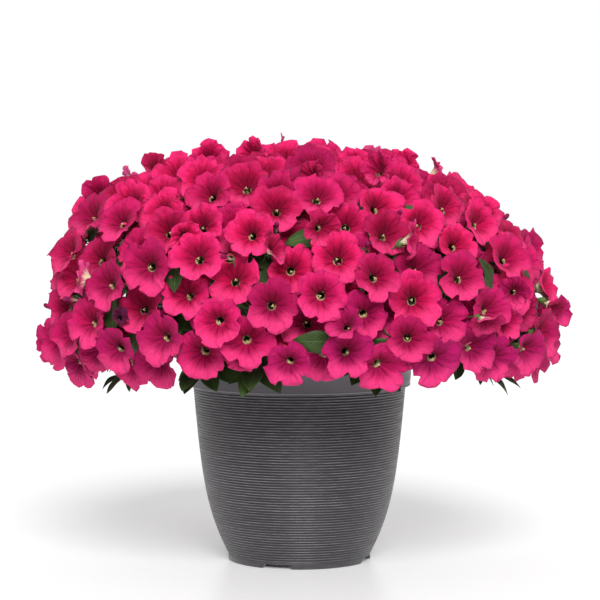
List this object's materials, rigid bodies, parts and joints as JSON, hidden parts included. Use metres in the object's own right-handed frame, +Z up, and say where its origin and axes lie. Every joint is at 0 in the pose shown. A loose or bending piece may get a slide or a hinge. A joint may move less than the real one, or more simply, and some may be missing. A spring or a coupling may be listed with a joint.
{
  "type": "potted spreading petunia",
  "caption": "Round planter with fine horizontal ridges, filled with a wide dome of a spreading petunia in full bloom, with trumpet flowers on fanned stems.",
  "frame": {"origin": "the middle of the pot's foot, on the ground, on the pot's turned axis, over which the plant is centred within 5 mm", "axes": "+Z up along the pot's axis, -Y towards the front of the picture, +X to its right"},
  "size_m": [0.6846, 0.6471, 0.5543],
  "materials": {
    "pot": "satin moulded plastic with fine turned ridges, their crests rubbed lighter",
    "potting_mix": "moist, crumbly peat and bark",
    "petal": "soft velvety petal with fine veins, cream throat ring",
    "leaf": "soft matt leaf with a slight sheen and fine hairs"
  },
  "bodies": {
    "root": {"pot": "pot", "potting_mix": "potting_mix", "spray_01": "petal", "spray_02": "petal", "spray_03": "petal", "spray_04": "petal", "spray_05": "petal", "spray_06": "petal", "spray_07": "petal", "spray_08": "petal", "spray_09": "petal", "spray_10": "petal", "spray_11": "petal", "spray_12": "petal", "spray_13": "petal", "spray_14": "petal", "spray_15": "petal", "spray_16": "petal", "spray_17": "petal", "spray_18": "petal", "spray_19": "petal", "spray_20": "petal", "spray_21": "petal", "spray_22": "petal", "spray_23": "petal", "spray_24": "petal", "spray_25": "petal", "spray_26": "petal", "spray_27": "petal", "spray_28": "petal", "spray_29": "petal", "spray_30": "petal", "spray_31": "petal", "spray_32": "petal", "spray_33": "petal", "spray_34": "petal", "spray_35": "petal", "spray_36": "petal", "spray_37": "petal", "spray_38": "petal", "leafy_stem_01": "leaf", "leafy_stem_02": "leaf", "leafy_stem_03": "leaf", "leafy_stem_04": "leaf", "leafy_stem_05": "leaf", "leafy_stem_06": "leaf", "leafy_stem_07": "leaf", "leafy_stem_08": "leaf", "leafy_stem_09": "leaf", "leafy_stem_10": "leaf", "leafy_stem_11": "leaf", "leafy_stem_12": "leaf", "leafy_stem_13": "leaf", "leafy_stem_14": "leaf", "leafy_stem_15": "leaf", "leafy_stem_16": "leaf", "leafy_stem_17": "leaf", "leafy_stem_18": "leaf"}
  },
  "joints": []
}
